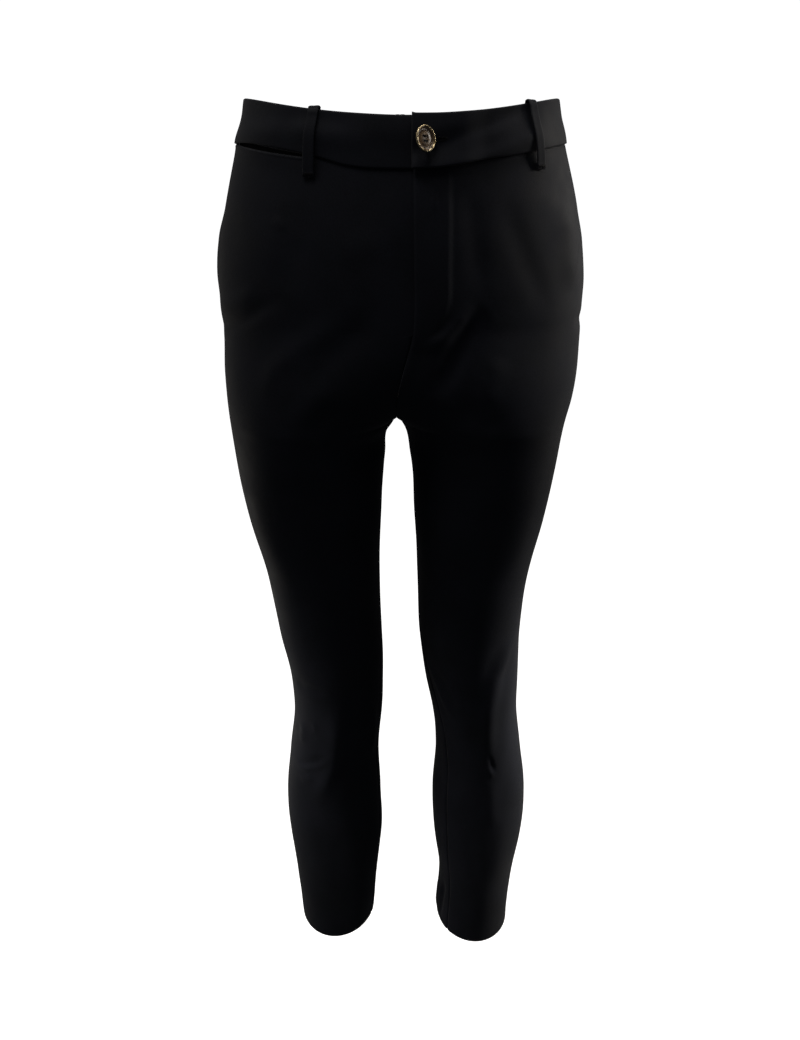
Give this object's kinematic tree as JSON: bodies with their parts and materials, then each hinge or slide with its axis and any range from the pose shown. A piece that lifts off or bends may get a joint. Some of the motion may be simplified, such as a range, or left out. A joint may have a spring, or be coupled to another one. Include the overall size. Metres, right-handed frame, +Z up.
{
  "type": "suit trousers",
  "caption": "Slim ankle-length suit trousers in black stretch suiting, filled out as if worn, with a lapped fly, buttoned waistband and belt loops.",
  "frame": {"origin": "middle of the waist opening, half way down the waistband at the side seams, where the wearer holds the trousers up", "axes": "+Z up from hem to waist, the trousers face -Y, and +X is the wearer's left side"},
  "size_m": [0.3257, 0.2328, 0.9266],
  "materials": {
    "suiting": "smooth matte stretch suiting, near black",
    "pocketing": "thin matte black pocketing",
    "button": "glossy dark horn-like resin with a worn brassy rim"
  },
  "bodies": {
    "root": {"front_right": "suiting", "front_left": "suiting", "back_right": "suiting", "back_left": "suiting", "waistband_right": "suiting", "waistband_left": "suiting", "belt_loop_front_right": "suiting", "belt_loop_front_left": "suiting", "belt_loop_back_right": "suiting", "belt_loop_back_left": "suiting", "belt_loop_centre_back": "suiting", "coin_pocket": "pocketing", "side_pocket_right": "pocketing", "side_pocket_left": "pocketing", "button": "button"}
  },
  "joints": []
}
